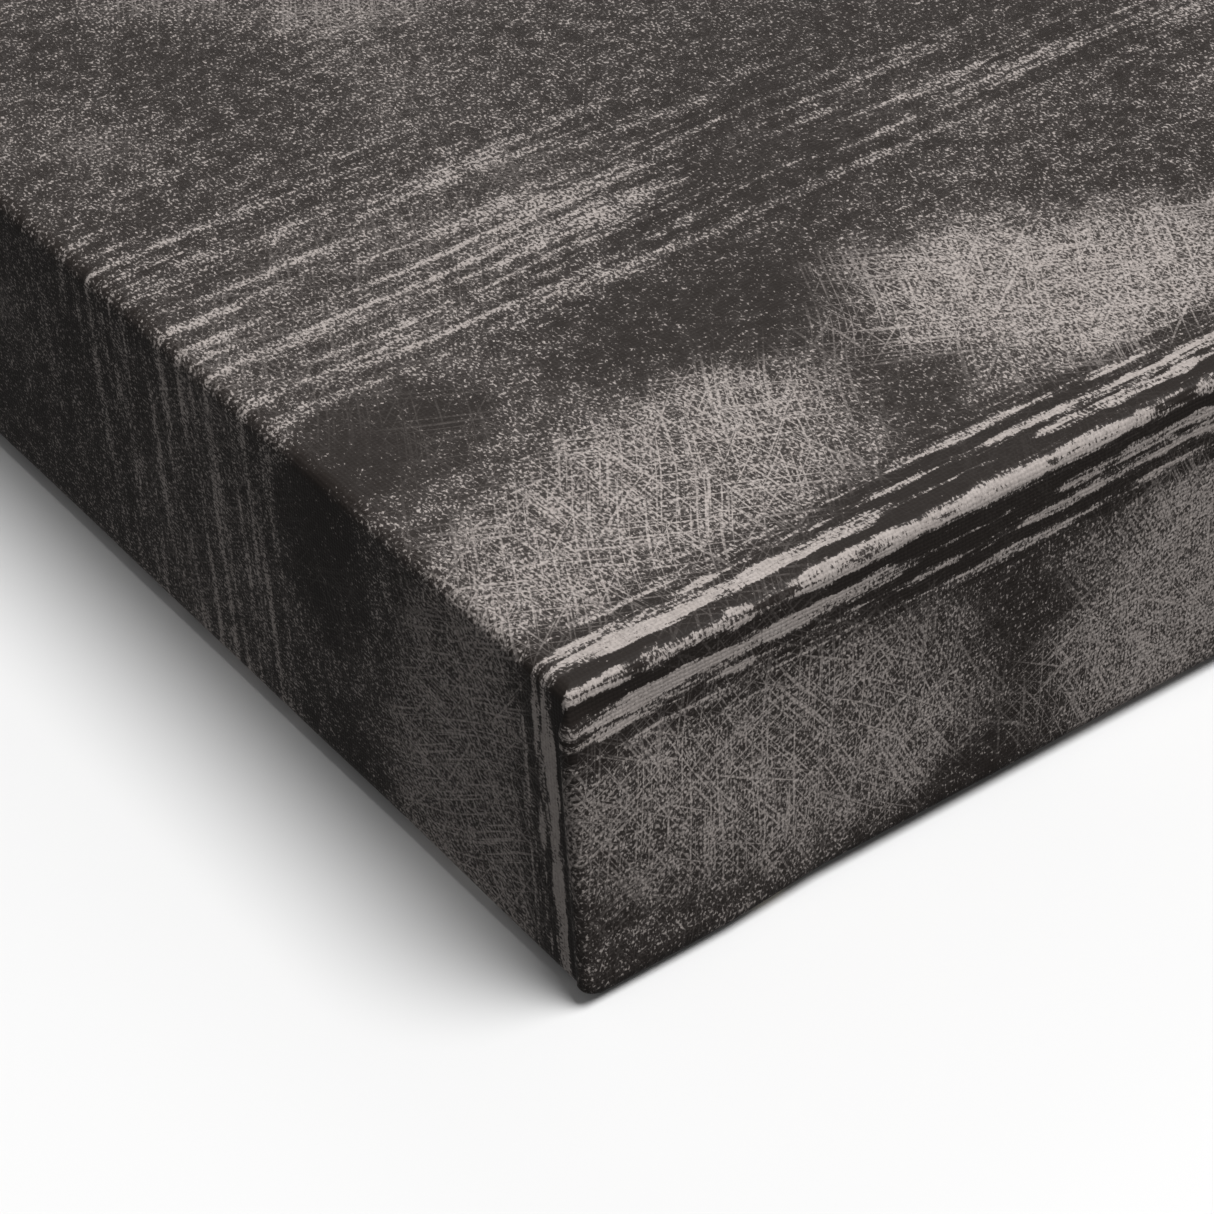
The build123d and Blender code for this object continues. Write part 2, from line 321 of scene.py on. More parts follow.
def strokes(graph, x, y, direction, across_rate, along_rate, share):
    """Fine scratched strokes in one direction, broken and a little bent, 0 to 1."""
    along, across = turned(graph, x, y, direction)
    field = stretched_noise(graph, along, across, along_rate, across_rate, direction, 1.0)
    level = 0.5 + 0.11 * (0.5 - share) * 3.0
    return graph.step(field, level - 0.02, level + 0.08)


def edge_bands(graph, x, y):
    """Pale brushed bands along the lower edge, 0 to 1, wavy and broken."""
    bent = graph.add(y, wander(graph, x, graph.times(y, 0.6), 0.045, 1.3, 41.0))
    bent = graph.add(bent, wander(graph, x, graph.times(y, 1.5), 0.5, 0.35, 43.0))
    pale = 0.0
    for middle, half, place in EDGE_BANDS:
        breaks = stretched_noise(graph, x, y, 0.075, 0.06, place, 4.0)
        width = graph.times(graph.step(breaks, 0.34, 0.66), half * 1.6)
        off = graph.math("ABSOLUTE", graph.less(bent, middle))
        band = graph.step(graph.less(off, width), 0.35, -0.35)
        pale = graph.math("MAXIMUM", pale, graph.times(band, graph.step(breaks, 0.34, 0.50)))
    return pale


def printed_tone(graph, x, y):
    """How much of the ink is lifted, about 0 to 1, and how hatched it is, at a place in the picture."""
    bent_x = graph.add(x, wander(graph, x, y, 0.07, 9.0, 1.0))
    bent_y = graph.add(y, wander(graph, x, y, 0.07, 9.0, 5.0))
    broad = graph.noise(graph.point(x, y, 9.0), 0.026, 3.0, 0.55)
    far = graph.step(graph.math("MAXIMUM", x, y), *FAR_FROM_CORNER)
    reach = graph.times_add(far, 0.75, 0.30)
    tone = graph.times_add(graph.less(broad, 0.5), reach, BASE_TONE)
    hatching = graph.times(graph.step(broad, 0.50, 0.66), graph.times_add(far, 0.8, 0.1))
    for middle_x, middle_y, half_x, half_y, turn, lift, hatched in PATCHES:
        soft = patch(graph, bent_x, bent_y, middle_x, middle_y, half_x, half_y, turn)
        tone = graph.times_add(soft, lift, tone)
        if hatched:
            hatching = graph.times_add(soft, hatched, hatching)
    mottle = graph.less(graph.noise(graph.point(x, y, 13.0), 0.45, 4.0, 0.75), 0.5)
    tone = graph.times_add(mottle, MOTTLE, tone)

    # long streaks across the picture, well inside the edge
    streak_y = graph.add(y, wander(graph, x, y, 0.04, 1.2, 17.0))
    streak = stretched_noise(graph, x, streak_y, 0.035, 0.50, 23.0, 4.0)
    zone_top = graph.step(graph.times_add(x, 0.3, y), 104.0, 84.0)
    zone = graph.times(graph.step(y, 46.0, 54.0), zone_top)
    islands = stretched_noise(graph, x, y, 0.018, 0.018, 29.0)
    elsewhere = graph.times(far, graph.step(islands, 0.5, 0.62))
    zone = graph.math("MAXIMUM", zone, elsewhere)
    lifted = graph.times_add(graph.step(streak, 0.44, 0.66), STREAK_LIFT, STREAK_DARKEN)
    tone = graph.times_add(lifted, zone, tone)

    # brushed bands by the lower edge
    edge = graph.step(y, *EDGE_RANGE)
    cover = stretched_noise(graph, x, y, 0.04, 0.30, 31.0, 3.0)
    solid = graph.times(edge, graph.step(cover, 0.30, 0.52))
    pale = edge_bands(graph, x, y)
    tone = graph.times_add(graph.less(SOLID_TONE, tone), graph.times(solid, 0.80), tone)
    tone = graph.times_add(graph.times(pale, edge), BAND_LIFT, tone)
    bent = graph.add(y, wander(graph, x, y, 0.06, 1.0, 73.0))
    broad_brush = graph.less(stretched_noise(graph, x, bent, 0.030, 0.75, 37.0, 2.0), 0.5)
    fine_brush = graph.less(stretched_noise(graph, x, bent, 0.22, 2.4, 39.0, 3.0), 0.5)
    tone = graph.times_add(graph.times(broad_brush, edge), BROAD_BRUSH, tone)
    tone = graph.times_add(graph.times(fine_brush, edge), FINE_BRUSH, tone)
    hatching = graph.times(hatching, graph.times_add(edge, -0.75, 1.0))
    return tone, graph.math("MINIMUM", hatching, 1.0)


def printed_canvas():
    """Matt ink on primed cotton: grainy etched marks in a warm off-black, mirrored down the sides."""
    graph = Graph("printed_canvas")
    u, v = graph.flat_place()
    x = graph.add(mirrored(graph, u, HALF_WIDTH / MM), HALF_WIDTH / MM)
    y = graph.add(mirrored(graph, v, HALF_HEIGHT / MM), HALF_HEIGHT / MM)
    tone, hatching = printed_tone(graph, x, y)

    # grain, longer along the warp and never quite straight
    grain_u = graph.add(u, wander(graph, u, v, 1.3, 0.30, 47.0))
    grain = stretched_noise(graph, grain_u, v, 3.7, 2.1, 53.0, 3.0)
    threshold = graph.times_add(tone, -0.35, 0.675)
    marks = graph.step(grain, graph.less(threshold, 0.07), graph.add(threshold, 0.09))
    dabs = graph.noise(graph.point(u, v, 71.0), 3.4, 2.0, 0.6)
    marks = graph.times(marks, graph.times_add(dabs, 1.1, 0.30), clamp=True)

    # scratched strokes, broken up by the same grain
    scratched = 0.0
    bent_x = graph.add(x, wander(graph, x, y, 0.05, 1.8, 59.0, 0.0))
    for direction, across_rate, along_rate, share in STROKES:
        drawn = strokes(graph, bent_x, y, direction, across_rate, along_rate, share)
        scratched = graph.math("MAXIMUM", scratched, drawn)
    scratched = graph.times(scratched, graph.times(hatching, 0.95))
    broken = graph.times_add(graph.step(grain, 0.36, 0.58), 0.75, 0.25)
    scratched = graph.times(scratched, broken)
    marks = graph.math("MAXIMUM", marks, scratched)

    # ink
    threads = weave(graph, u, v)
    haze = graph.times(graph.step(tone, -0.1, 0.6), 0.40)
    ground = graph.mix(haze, INK_DARK, INK_GREY)
    strength = graph.times_add(graph.noise(graph.point(x, y, 61.0), 0.9, 2.0), 0.5, 0.74)
    lifted = graph.times(marks, strength, clamp=True)
    ink = graph.mix(lifted, ground, INK_LIGHT)
    warmth = graph.times(graph.noise(graph.point(x, y, 67.0), 0.4, 2.0), 0.25)
    ink = graph.mix(graph.times(warmth, marks), ink, INK_WARM)
    # painted shade: the hollows between the threads are darkened towards near black
    painted_gap_shade = graph.times(graph.step(threads, 0.55, 0.05), 0.20)
    ink = graph.mix(painted_gap_shade, ink, PAINTED_THREAD_SHADE)

    # past the print, bare primer on the hems
    past_x = graph.less(graph.math("ABSOLUTE", u), (HALF_WIDTH + TOP_Z) / MM + PRINT_BLEED)
    past_y = graph.less(graph.math("ABSOLUTE", v), (HALF_HEIGHT + TOP_Z) / MM + PRINT_BLEED)
    bare = graph.step(graph.math("MAXIMUM", past_x, past_y), -0.15, 0.15)
    graph.set("Base Color", graph.mix(bare, ink, PRIMER))

    relief = graph.times_add(marks, 0.10, threads)
    fibres = graph.noise(graph.point(u, v), 3.5, 3.0, 0.65)
    relief = graph.times_add(fibres, 0.8, relief)
    graph.set("Normal", graph.bump(relief, 0.06 * MM, 0.55))
    graph.set("Roughness", graph.times_add(marks, 0.10, 0.54))
    graph.shader.inputs["Specular IOR Level"].default_value = PRINT_SHINE
    return graph.material


COTTON_DULL = colour(0.62, 0.55, 0.43)
COTTON_PALE = colour(0.70, 0.64, 0.53)
COTTON_SLUB = colour(0.50, 0.42, 0.30)
COTTON_SPECK = colour(0.22, 0.15, 0.09)
# painted shade for the hollows between the threads
PAINTED_COTTON_GAP_SHADE = colour(0.30, 0.24, 0.17)


def raw_canvas():
    """The unprinted back of the cloth: natural cotton with slubs."""
    graph = Graph("raw_canvas")
    u, v = graph.flat_place()
    threads = weave(graph, u, v, 0.2)
    slubs_u = stretched_noise(graph, u, v, 2.2, 0.05, 0.0)
    slubs_v = stretched_noise(graph, u, v, 0.05, 2.2, 5.0)
    slubs = graph.step(graph.math("MAXIMUM", slubs_u, slubs_v), 0.55, 0.78)
    base = graph.mix(graph.noise(graph.point(u, v), 0.05, 3.0), COTTON_DULL, COTTON_PALE)
    base = graph.mix(graph.times(slubs, 0.45), base, COTTON_SLUB)
    specks = graph.step(graph.noise(graph.point(u, v, 2.0), 0.9, 1.0), 0.74, 0.80)
    base = graph.mix(graph.times(specks, 0.6), base, COTTON_SPECK)
    # painted shade: the hollows between the threads are darkened towards a dark brown
    base = graph.mix(graph.step(threads, 0.85, 0.05), base, PAINTED_COTTON_GAP_SHADE)
    graph.set("Base Color", base)
    height = graph.times_add(slubs, 0.5, threads)
    graph.set("Normal", graph.bump(height, 0.10 * MM))
    graph.shader.inputs["Roughness"].default_value = 0.92
    graph.shader.inputs["Specular IOR Level"].default_value = 0.2
    graph.shader.inputs["Sheen Weight"].default_value = 0.15
    return graph.material


# ---------------------------------------------------------------- wood and metal


def wood(name, pale, dark, ring_scale, along, seed):
    """Planed wood with its grain along X or Y, from rings, fibres and small pores."""
    graph = Graph(name)
    px, py, pz = graph.split(graph.place())
    lengthwise, sideways = (px, py) if along == "x" else (py, px)
    sway = graph.noise(graph.point(graph.times(lengthwise, 0.006), sideways, pz), 0.05, 2.0)
    ring_y = graph.times_add(sway, 22.0, graph.add(sideways, seed * 37.0))
    ring_z = graph.add(pz, seed * 11.0)
    ring_spot = graph.point(
        graph.times(lengthwise, 0.0035),
        graph.times(ring_y, ring_scale),
        graph.times(ring_z, ring_scale),
    )
    rings = graph.noise(ring_spot, 1.0, 3.0, 0.55, 0.2)
    late = graph.step(rings, 0.44, 0.60)
    fibre_spot = graph.point(
        graph.times(lengthwise, 0.05),
        graph.times(sideways, 3.2),
        graph.times(pz, 3.2),
    )
    fibres = graph.noise(fibre_spot, 1.0, 3.0, 0.6)
    pores = graph.step(fibres, 0.60, 0.72)
    base = graph.mix(late, pale, dark)
    pore_colour = colour(dark[0] * 0.6, dark[1] * 0.55, dark[2] * 0.5)
    base = graph.mix(graph.times(pores, 0.35), base, pore_colour)
    broad = graph.noise(graph.point(px, py, pz), 0.012, 2.0)
    aged = colour(pale[0] * 1.04, pale[1] * 0.94, pale[2] * 0.8)
    base = graph.mix(graph.times(broad, 0.28), base, aged)
    graph.set("Base Color", base)
    relief = graph.times_add(late, 0.4, fibres)
    graph.set("Normal", graph.bump(relief, 0.08 * MM, 0.7))
    graph.set("Roughness", graph.times_add(fibres, 0.25, 0.48))
    graph.shader.inputs["Specular IOR Level"].default_value = 0.35
    return graph.material


def metal(name, bright, dull, roughness, scratch):
    """Plated steel with fine scratches and a duller bloom."""
    graph = Graph(name)
    spot = graph.place()
    bloom = graph.noise(spot, 0.8, 3.0)
    px, py, pz = graph.split(spot)
    line_spot = graph.point(graph.times(px, 9.0), graph.times(py, 1.2), graph.times(pz, 9.0))
    lines = graph.noise(line_spot, 1.0, 3.0)
    graph.set("Base Color", graph.mix(bloom, bright, dull))
    graph.set("Roughness", graph.times_add(lines, scratch, roughness))
    graph.shader.inputs["Metallic"].default_value = 1.0
    graph.set("Normal", graph.bump(lines, 0.01 * MM, 0.5))
    return graph.material


# ---------------------------------------------------------------- the cloth's shape


def smooth(value):
    value = min(max(value, 0.0), 1.0)
    return value * value * (3.0 - 2.0 * value)


SMALLEST_STEP = 0.9 * MM
LARGEST_END_STEP = 8.5 * MM
STEP_GROWTH = 1.28
MIDDLE_STEP = 9.0 * MM


def graded(first, last):
    """Places from first to last, close together at both ends and even in the middle."""
    steps = []
    step = SMALLEST_STEP
    while step < LARGEST_END_STEP:
        steps.append(step)
        step *= STEP_GROWTH
    left = (last - first) - 2.0 * sum(steps)
    count = max(1, round(left / MIDDLE_STEP))
    widths = steps + [left / count] * count + steps[::-1]
    return [first] + [first + total for total in np.cumsum(widths)]


# rows of points down the straight part of a side, close together where the corner fold opens
STRAIGHT_SHARES = [0.012, 0.026, 0.042, 0.060, 0.081, 0.105, 0.133, 0.165, 0.20, 0.24, 0.285, 0.335]
STRAIGHT_SHARES += [0.39, 0.45, 0.51, 0.57, 0.63, 0.69, 0.75, 0.81, 0.87, 0.93, 0.97, 1.0]
FRONT_BEND_STEPS = 7
BACK_BEND_STEPS = 6
HEM_STEPS = 10


def side_rows():
    """A side's section from the front's edge to the hem's end.

    Each row has its inset from the side's plane, its height, its outward normal (out, up), its
    distance along the cloth, and how far it is through the bottom bend and the hem.
    """
    top = TOP_Z - CLOTH / 2.0
    hem_z = BAR_BACK_Z - CLOTH / 2.0
    rows = []
    for k in range(FRONT_BEND_STEPS + 1):
        turn = math.pi / 2.0 * k / FRONT_BEND_STEPS
        inset = FRONT_BEND * (1 - math.sin(turn))
        z = top - FRONT_BEND * (1 - math.cos(turn))
        rows.append(dict(inset=inset, z=z, out=math.sin(turn), up=math.cos(turn),
                         s=FRONT_BEND * turn, bend=0.0, hem=0.0))
    straight = top - FRONT_BEND - hem_z - BACK_BEND
    start = FRONT_BEND * math.pi / 2.0
    for share in STRAIGHT_SHARES:
        rows.append(dict(inset=0.0, z=top - FRONT_BEND - straight * share, out=1.0, up=0.0,
                         s=start + straight * share, bend=0.0, hem=0.0))
    start += straight
    for k in range(1, BACK_BEND_STEPS + 1):
        turn = math.pi / 2.0 * k / BACK_BEND_STEPS
        inset = BACK_BEND * (1 - math.cos(turn))
        z = hem_z + BACK_BEND * (1 - math.sin(turn))
        rows.append(dict(inset=inset, z=z, out=math.cos(turn), up=-math.sin(turn),
                         s=start + BACK_BEND * turn, bend=k / BACK_BEND_STEPS, hem=0.0))
    start += BACK_BEND * math.pi / 2.0
    run = HEM - BACK_BEND
    for k in range(1, HEM_STEPS + 1):
        share = k / HEM_STEPS
        rows.append(dict(inset=BACK_BEND + run * share, z=hem_z, out=0.0, up=-1.0,
                         s=start + run * share, bend=1.0, hem=share))
    return rows


ROWS = side_rows()


def layers_open(s):
    """How far apart the folded layers stand: shut at the front, open further down."""
    return smooth((s - FOLD_START) / LAYER_GROW)


def pleat_reach(s):
    """How far the pleat runs in under the outer layer, from where the outer layer ends."""
    return min(max(PLEAT_SLOPE * (s - FOLD_START), 0.0), PLEAT_REACH)


def bulge(distance, s):
    """How far the outer layer stands off, over the pleat under it, in metres."""
    under = smooth((pleat_reach(s) + BULGE_FADE - distance) / (2.0 * BULGE_FADE))
    return 2.0 * LAYER_STEP * layers_open(s) * under


class Panel:
    """A grid of points, each with its printed side's direction and its place on the flat cloth.

    A point can be None where the folded cloth has no inner layer.
    """

    def __init__(self):
        self.rows = []

    def row(self, points):
        self.rows.append(points)

    def write(self, mesh, uv, facing):
        grid = []
        for points in self.rows:
            line = []
            for point in points:
                vert = None
                if point is not None:
                    vert = mesh.verts.new(point[0])
                    vert[facing] = point[1]
                line.append(vert)
            grid.append(line)
        for i in range(len(grid) - 1):
            for j in range(len(grid[i]) - 1):
                corners = ((i, j), (i, j + 1), (i + 1, j + 1), (i + 1, j))
                if any(grid[a][b] is None for a, b in corners):
                    continue
                face = mesh.faces.new([grid[a][b] for a, b in corners])
                for loop, (a, b) in zip(face.loops, corners, strict=True):
                    loop[uv].uv = self.rows[a][b][2]


def front_panel(xs, ys):
    panel = Panel()
    top = TOP_Z - CLOTH / 2.0
    for y in ys:
        panel.row([((x, y, top), (0.0, 0.0, 1.0), (x, y)) for x in xs])
    return panel


def dip(r, from_corner):
    """How far the back edge sinks next to a corner, where the folded layers lie under it."""
    near = smooth(1.0 - from_corner / CORNER_DIP_REACH)
    low = smooth(1.0 - (r["z"] - ROWS[-1]["z"]) / CORNER_DIP_HEIGHT)
    return CORNER_DIP * near * low


def side_panel(places, half_along, half_out, along_axis, sign, pleated):
    """One side with its hem.

    places run along it, and half_out is how far the middle of its cloth is from the origin.
    """
    panel = Panel()
    front_edge = half_out - FRONT_BEND
    for r in ROWS:
        row = []
        for t in places:
            end = half_along - abs(t)
            lift = bulge(end - UPRIGHT_BEND, r["s"]) if pleated else 0.0
            spot = Vector((t * 90.0, sign * 3.0, half_out * 50.0))
            ragged = RAGGED_EDGE * noise.noise(spot) * r["hem"]
            ragged *= smooth(end / (30.0 * MM) - 0.1)
            out = sign * (half_out - r["inset"] - ragged + lift * r["out"])
            z = r["z"] + lift * r["up"] - dip(r, end)
            flat = sign * (front_edge + r["s"])
            if along_axis == "x":
                row.append(((t, out, z), (0.0, sign * r["out"], r["up"]), (t, flat)))
            else:
                row.append(((out, t, z), (sign * r["out"], 0.0, r["up"]), (flat, t)))
        panel.row(row)
    return panel


def bend_radius(r):
    """The inner radius of the upright corner: none on the front, full from the end of the front bend."""
    if r["bend"] or r["hem"]:
        return UPRIGHT_BEND
    return UPRIGHT_BEND * (1.0 - r["inset"] / FRONT_BEND)


def fold_path(r, t):
    """A place and outward direction on the corner's inner path, in the corner's own p and q.

    p runs along the side whose cloth lies outside, q along the side whose cloth passes under it, and
    both are negative outside. t is the distance along the path, from just past the corner on the q
    side, round the corner and on along the p side.
    """
    radius = bend_radius(r)
    middle = r["inset"] + radius
    quarter = radius * math.pi / 2.0
    past = FOLD_PAST_CORNER * layers_open(r["s"])
    if t < past:
        return (r["inset"], middle + past - t), (-1.0, 0.0)
    if t < past + quarter:
        turn = (t - past) / radius
        out = (-math.cos(turn), -math.sin(turn))
        return (middle + radius * out[0], middle + radius * out[1]), out
    return (middle + t - past - quarter, r["inset"]), (0.0, -1.0)


def lifted_place(r, t, layer):
    """The place of a layer of the fold: how many layer steps outside the inner path."""
    (p, q), out = fold_path(r, t)
    lift = LAYER_STEP * layers_open(r["s"]) * layer
    return p + out[0] * lift, q + out[1] * lift


OUTER_POINTS = 7
TURN_POINTS = 5
PLEAT_POINTS = 10
OUTER_END = OUTER_POINTS + TURN_POINTS
PLEAT_END = OUTER_END + PLEAT_POINTS + TURN_POINTS - 1


def fold_section(r):
    """The folded corner at one row: (p, q), printed side in (p, q), layer, and printed side once flat.

    The last three are how much the printed side then faces out of its own side and along p, and how
    far along p the point then lies: minus the distance along the path for the outer layer.

    The cloth comes from the p side as the outer layer, goes round the corner, turns back on itself,
    runs in under its own outer layer as the pleat, turns again and comes back as the q side.
    """
    widen = layers_open(r["s"])
    corner = FOLD_PAST_CORNER * widen + bend_radius(r) * math.pi / 2.0
    end = pleat_reach(r["s"])
    half_step = LAYER_STEP * widen / 2.0
    under = -1.0 if widen > 0.0 else 1.0
    section = []
    for k in range(OUTER_POINTS + 1):
        t = corner * (1.0 - k / OUTER_POINTS)
        _, out = fold_path(r, t)
        section.append((*lifted_place(r, t, 2.0), out[0], out[1], 2.0, 1.0, 0.0, -t))
    (p, q), out = fold_path(r, 0.0)
    for k in range(1, TURN_POINTS):
        turn = math.pi * k / TURN_POINTS
        lift = half_step * (3.0 + math.cos(turn))
        ahead = half_step * math.sin(turn)
        face = (out[0] * math.cos(turn), math.sin(turn)) if widen > 0.0 else out
        section.append((p + out[0] * lift, q + ahead, *face, 1.5 + 0.5 * math.cos(turn),
                        math.cos(turn), -math.sin(turn), -ahead))
    places = [end * smooth(k / PLEAT_POINTS) for k in range(PLEAT_POINTS + 1)]
    for t in places:
        _, out = fold_path(r, t)
        section.append((*lifted_place(r, t, 1.0), under * out[0], under * out[1], 1.0, -1.0, 0.0, t))
    (p, q), out = fold_path(r, end)
    ahead_p, ahead_q = -out[1], out[0]
    for k in range(1, TURN_POINTS):
        turn = math.pi * k / TURN_POINTS
        lift = half_step * (1.0 + math.cos(turn))
        ahead = half_step * math.sin(turn)
        c, s = (under * math.cos(turn), under * math.sin(turn)) if widen > 0.0 else (1.0, 0.0)
        section.append((p + out[0] * lift + ahead_p * ahead, q + out[1] * lift + ahead_q * ahead,
                        c * out[0] + s * ahead_p, c * out[1] + s * ahead_q, 0.5 + 0.5 * math.cos(turn),
                        -math.cos(turn), -math.sin(turn), end + ahead))
    for t in reversed(places):
        _, out = fold_path(r, t)
        section.append((*lifted_place(r, t, 0.0), out[0], out[1], 0.0, 1.0, 0.0, t))
    return section


def fold_row(r):
    """One row of a folded corner in its own p, q and height, with printed sides and flat places."""
    section = fold_section(r)
    share = smooth(r["bend"])
    corner_length = -section[0][-1]
    gone = 0.0
    row = []
    for k, (p, q, face_p, face_q, layer, flat_out, flat_p, along) in enumerate(section):
        if k:
            gone += math.hypot(p - section[k - 1][0], q - section[k - 1][1])
        if k <= PLEAT_END:
            flat = (section[0][0] - gone, FRONT_BEND - r["s"])
        else:
            flat = (FRONT_BEND - r["s"], q if p <= r["inset"] + 1e-7 else -p)
        if r["hem"] > 0.0 and k > PLEAT_END:
            row.append(None)
            continue
        z = r["z"]
        face = (face_p * r["out"], face_q * r["out"], r["up"])
        if k <= PLEAT_END:
            # under the back the outer layer and the pleat lie flat, in line with their own side
            lift = LAYER_STEP * layers_open(r["s"]) * layer
            if along < 0.0 and k < OUTER_POINTS:
                unrolled = FLAP_INSET + (HEM_START - FLAP_INSET) * (-along / corner_length)
            else:
                unrolled = FLAP_INSET + along
            p += (unrolled - p) * share
            q += (r["inset"] - lift * r["out"] - q) * share
            z += lift * r["up"] * share
            flat_face = (flat_p, -flat_out * r["out"], flat_out * r["up"])
            face = tuple(a + (b - a) * share for a, b in zip(face, flat_face, strict=True))
        row.append(((p, q, z - dip(r, 0.0)), Vector(face).normalized(), flat))
    return row


def mirrored_corner(points, sign_x, sign_y):
    """Points in a corner's own p, q and height, moved to the corner with these signs."""
    corner_x = HALF_WIDTH - CLOTH / 2.0
    corner_y = HALF_HEIGHT - CLOTH / 2.0
    moved = []
    for point in points:
        if point is None:
            moved.append(None)
            continue
        (p, q, z), (face_p, face_q, up), (flat_p, flat_q) = point
        moved.append(((sign_x * (corner_x - p), sign_y * (corner_y - q), z),
                      (-sign_x * face_p, -sign_y * face_q, up),
                      (sign_x * (corner_x - flat_p), sign_y * (corner_y - flat_q))))
    return moved


def corner_panels(sign_x, sign_y):
    """One corner's folded cloth, and the narrow strips that join it to its two sides."""
    fold, outer, inner = Panel(), Panel(), Panel()
    for r in ROWS:
        row = fold_row(r)
        fold.row(mirrored_corner(row, sign_x, sign_y))
        lift = bulge(FRONT_BEND - UPRIGHT_BEND, r["s"])
        far = ((FRONT_BEND, r["inset"] - lift * r["out"], r["z"] + lift * r["up"] - dip(r, FRONT_BEND)),
               (0.0, -r["out"], r["up"]), (FRONT_BEND, FRONT_BEND - r["s"]))
        outer.row(mirrored_corner((row[0], far), sign_x, sign_y))
        far = ((r["inset"], FRONT_BEND, r["z"] - dip(r, FRONT_BEND)), (-r["out"], 0.0, r["up"]),
               (FRONT_BEND - r["s"], FRONT_BEND))
        near = row[-1]
        if near is None:
            near = ((r["inset"], UPRIGHT_BEND + BACK_BEND * 0.6, r["z"] - dip(r, 0.0)), far[1],
                    (FRONT_BEND - r["s"], UPRIGHT_BEND + BACK_BEND * 0.6))
        inner.row(mirrored_corner((near, far), sign_x, sign_y))
    return fold, outer, inner


def wind_alike(mesh):
    """Every face wound like its neighbours, starting from the middle of the front, which faces up."""
    middle = Vector((0.0, 0.0, TOP_Z))
    first = min(mesh.faces, key=lambda face: (face.calc_center_median() - middle).length)
    first.normal_update()
    if first.normal.z < 0.0:
        first.normal_flip()
    done = {first}
    waiting = [first]
    while waiting:
        face = waiting.pop()
        for edge in list(face.edges):
            for other in list(edge.link_faces):
                if other in done:
                    continue
                if not edge.is_contiguous:
                    other.normal_flip()
                done.add(other)
                waiting.append(other)


def thickened(mesh, uv, facing):
    """A closed sheet of the cloth's thickness about the folded surface, raw side and edges second."""
    solid = bmesh.new()
    solid_uv = solid.loops.layers.uv.new("flat")
    mesh.verts.index_update()
    printed, raw = [], []
    for vert in mesh.verts:
        half = Vector(vert[facing]).normalized() * (CLOTH / 2.0)
        printed.append(solid.verts.new(vert.co + half))
        raw.append(solid.verts.new(vert.co - half))

    def add(corners, material):
        face = solid.faces.new([vert for vert, _ in corners])
        face.material_index = material
        face.smooth = True
        for loop, (_, flat) in zip(face.loops, corners, strict=True):
            loop[solid_uv].uv = flat

    for face in mesh.faces:
        loops = [(loop.vert.index, loop[uv].uv.copy()) for loop in face.loops]
        add([(printed[i], flat) for i, flat in loops], 0)
        add([(raw[i], flat) for i, flat in reversed(loops)], 1)
    for edge in mesh.edges:
        if edge.is_boundary:
            loop = edge.link_loops[0]
            a, b = loop.vert.index, loop.link_loop_next.vert.index
            flat_a, flat_b = loop[uv].uv.copy(), loop.link_loop_next[uv].uv.copy()
            add([(printed[b], flat_b), (printed[a], flat_a), (raw[a], flat_a), (raw[b], flat_b)], 1)
    return solid


WELD = 2e-6
SHARP_ANGLE = math.radians(60.0)


def build_sheet():
    """The whole cloth as one folded sheet with its real thickness."""
    plane_x = HALF_WIDTH - CLOTH / 2.0
    plane_y = HALF_HEIGHT - CLOTH / 2.0
    xs = graded(-plane_x + FRONT_BEND, plane_x - FRONT_BEND)
    ys = graded(-plane_y + FRONT_BEND, plane_y - FRONT_BEND)
    panels = [front_panel(xs, ys)]
    for sign in (-1.0, 1.0):
        panels.append(side_panel(xs, plane_x, plane_y, "x", sign, True))
        panels.append(side_panel(ys, plane_y, plane_x, "y", sign, False))
        for sign_y in (-1.0, 1.0):
            panels.extend(corner_panels(sign, sign_y))
    mesh = bmesh.new()
    uv = mesh.loops.layers.uv.new("flat")
    facing = mesh.verts.layers.float_vector.new("facing")
    for panel in panels:
        panel.write(mesh, uv, facing)
    bmesh.ops.remove_doubles(mesh, verts=mesh.verts, dist=WELD)
    bmesh.ops.dissolve_degenerate(mesh, edges=mesh.edges, dist=WELD / 2.0)
    wind_alike(mesh)
    for vert in mesh.verts:
        vert.co += RIPPLE * noise.noise_vector(vert.co * RIPPLES_PER_METRE)
    solid = thickened(mesh, uv, facing)
    mesh.free()
    data = bpy.data.meshes.new("canvas_sheet")
    solid.to_mesh(data)
    solid.free()
    sheet = bpy.data.objects.new("canvas_sheet", data)
    bpy.context.scene.collection.objects.link(sheet)
    data.materials.append(printed_canvas())
    data.materials.append(raw_canvas())
    data.set_sharp_from_angle(angle=SHARP_ANGLE)
    return sheet


# ---------------------------------------------------------------- camera, lights and floor


CAMERA_PLACE = Vector((-0.2963, -0.4292, 0.2647))
CAMERA_LOOKING = Vector((0.4304, 0.6525, -0.6238))
CAMERA_RIGHT = Vector((0.8122, -0.5813, -0.0477))
CAMERA_LENS = 119.4
WHITE = colour(1.0, 1.0, 1.0)
FLOOR_SIZE = 14.0
FLOOR_DIM = colour(0.80, 0.80, 0.80)
FLOOR_BRIGHT = colour(0.81, 0.81, 0.81)
WORLD_LIGHT = 0.19
ORIGIN = (0.0, 0.0, 0.0)


def add_camera():
    """The photograph's view: close over the lower left corner, a long lens, tilted a little."""
    up = CAMERA_RIGHT.cross(CAMERA_LOOKING)
    camera = bpy.data.objects.new("camera", bpy.data.cameras.new("camera"))
    camera.data.lens = CAMERA_LENS
    camera.data.sensor_width = 36.0
    camera.data.clip_start = 0.01
    camera.data.clip_end = 20.0
    turn = Matrix((CAMERA_RIGHT, up, -CAMERA_LOOKING)).transposed()
    camera.matrix_world = Matrix.Translation(CAMERA_PLACE) @ turn.to_4x4()
    bpy.context.scene.collection.objects.link(camera)
    bpy.context.scene.camera = camera


